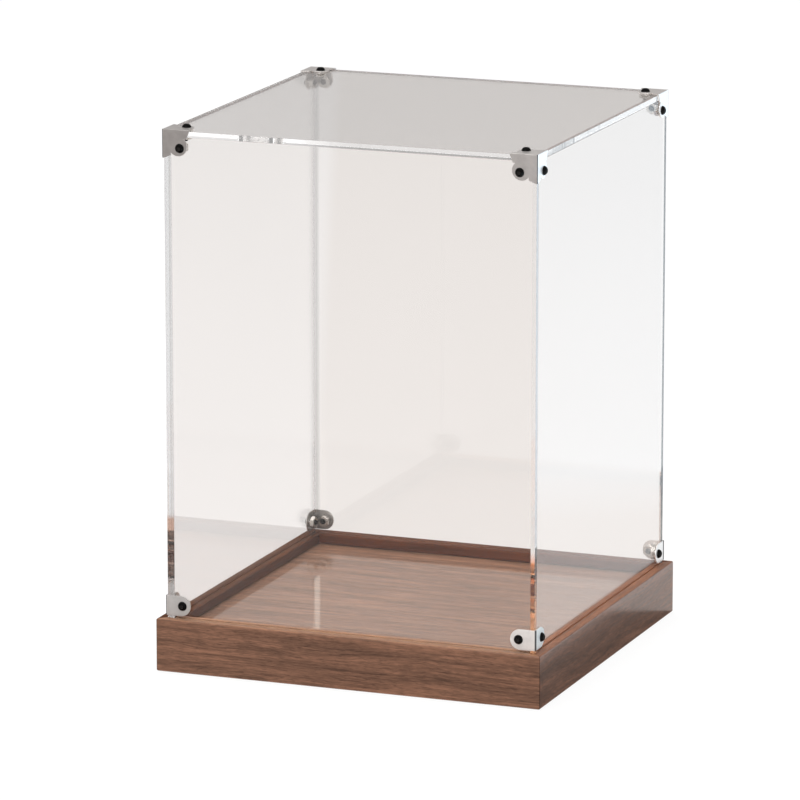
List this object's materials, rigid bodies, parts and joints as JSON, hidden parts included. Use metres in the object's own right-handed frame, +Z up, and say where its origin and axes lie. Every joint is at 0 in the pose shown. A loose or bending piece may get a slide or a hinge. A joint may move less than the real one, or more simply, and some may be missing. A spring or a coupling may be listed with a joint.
{
  "type": "display case",
  "caption": "Clear acrylic display cover with metal corner brackets, standing in a groove round the rim of a square wooden tray base.",
  "frame": {"origin": "centre of the base's footprint, on the surface that it stands on", "axes": "+Z up, -Y towards the front, +X to the right as seen from the front"},
  "size_m": [0.15, 0.15, 0.2036],
  "materials": {
    "walnut_rail": "satin walnut with long grain",
    "walnut_floor": "semi-gloss walnut with long grain",
    "spline_wood": "raw hardwood",
    "clear_acrylic": "clear, polished faces and edges",
    "satin_bracket_steel": "satin stamped sheet",
    "black_screw": "black oxide",
    "plated_nut": "plated steel"
  },
  "bodies": {
    "base": {"base_rail_front": "walnut_rail", "base_rail_right": "walnut_rail", "base_rail_back": "walnut_rail", "base_rail_left": "walnut_rail", "floor_board": "walnut_floor", "corner_splines": "spline_wood"},
    "cover": {"panel_front": "clear_acrylic", "panel_right": "clear_acrylic", "panel_back": "clear_acrylic", "panel_left": "clear_acrylic", "panel_top": "clear_acrylic", "top_bracket_front_left": "satin_bracket_steel", "top_bracket_front_right": "satin_bracket_steel", "top_bracket_back_right": "satin_bracket_steel", "top_bracket_back_left": "satin_bracket_steel", "bottom_bracket_front_left": "satin_bracket_steel", "bottom_bracket_front_right": "satin_bracket_steel", "bottom_bracket_back_right": "satin_bracket_steel", "bottom_bracket_back_left": "satin_bracket_steel", "top_screws_front_left": "black_screw", "top_screws_front_right": "black_screw", "top_screws_back_right": "black_screw", "top_screws_back_left": "black_screw", "bottom_screws_front_left": "black_screw", "bottom_screws_front_right": "black_screw", "bottom_screws_back_right": "black_screw", "bottom_screws_back_left": "black_screw", "top_nuts_front_left": "plated_nut", "top_nuts_front_right": "plated_nut", "top_nuts_back_right": "plated_nut", "top_nuts_back_left": "plated_nut", "bottom_nuts_front_left": "plated_nut", "bottom_nuts_front_right": "plated_nut", "bottom_nuts_back_right": "plated_nut", "bottom_nuts_back_left": "plated_nut"}
  },
  "joints": [
    {"name": "cover_lift", "type": "slide", "parent": "base", "child": "cover", "axis": [0, 0, 1], "range_m": [0, 0.2]}
  ]
}
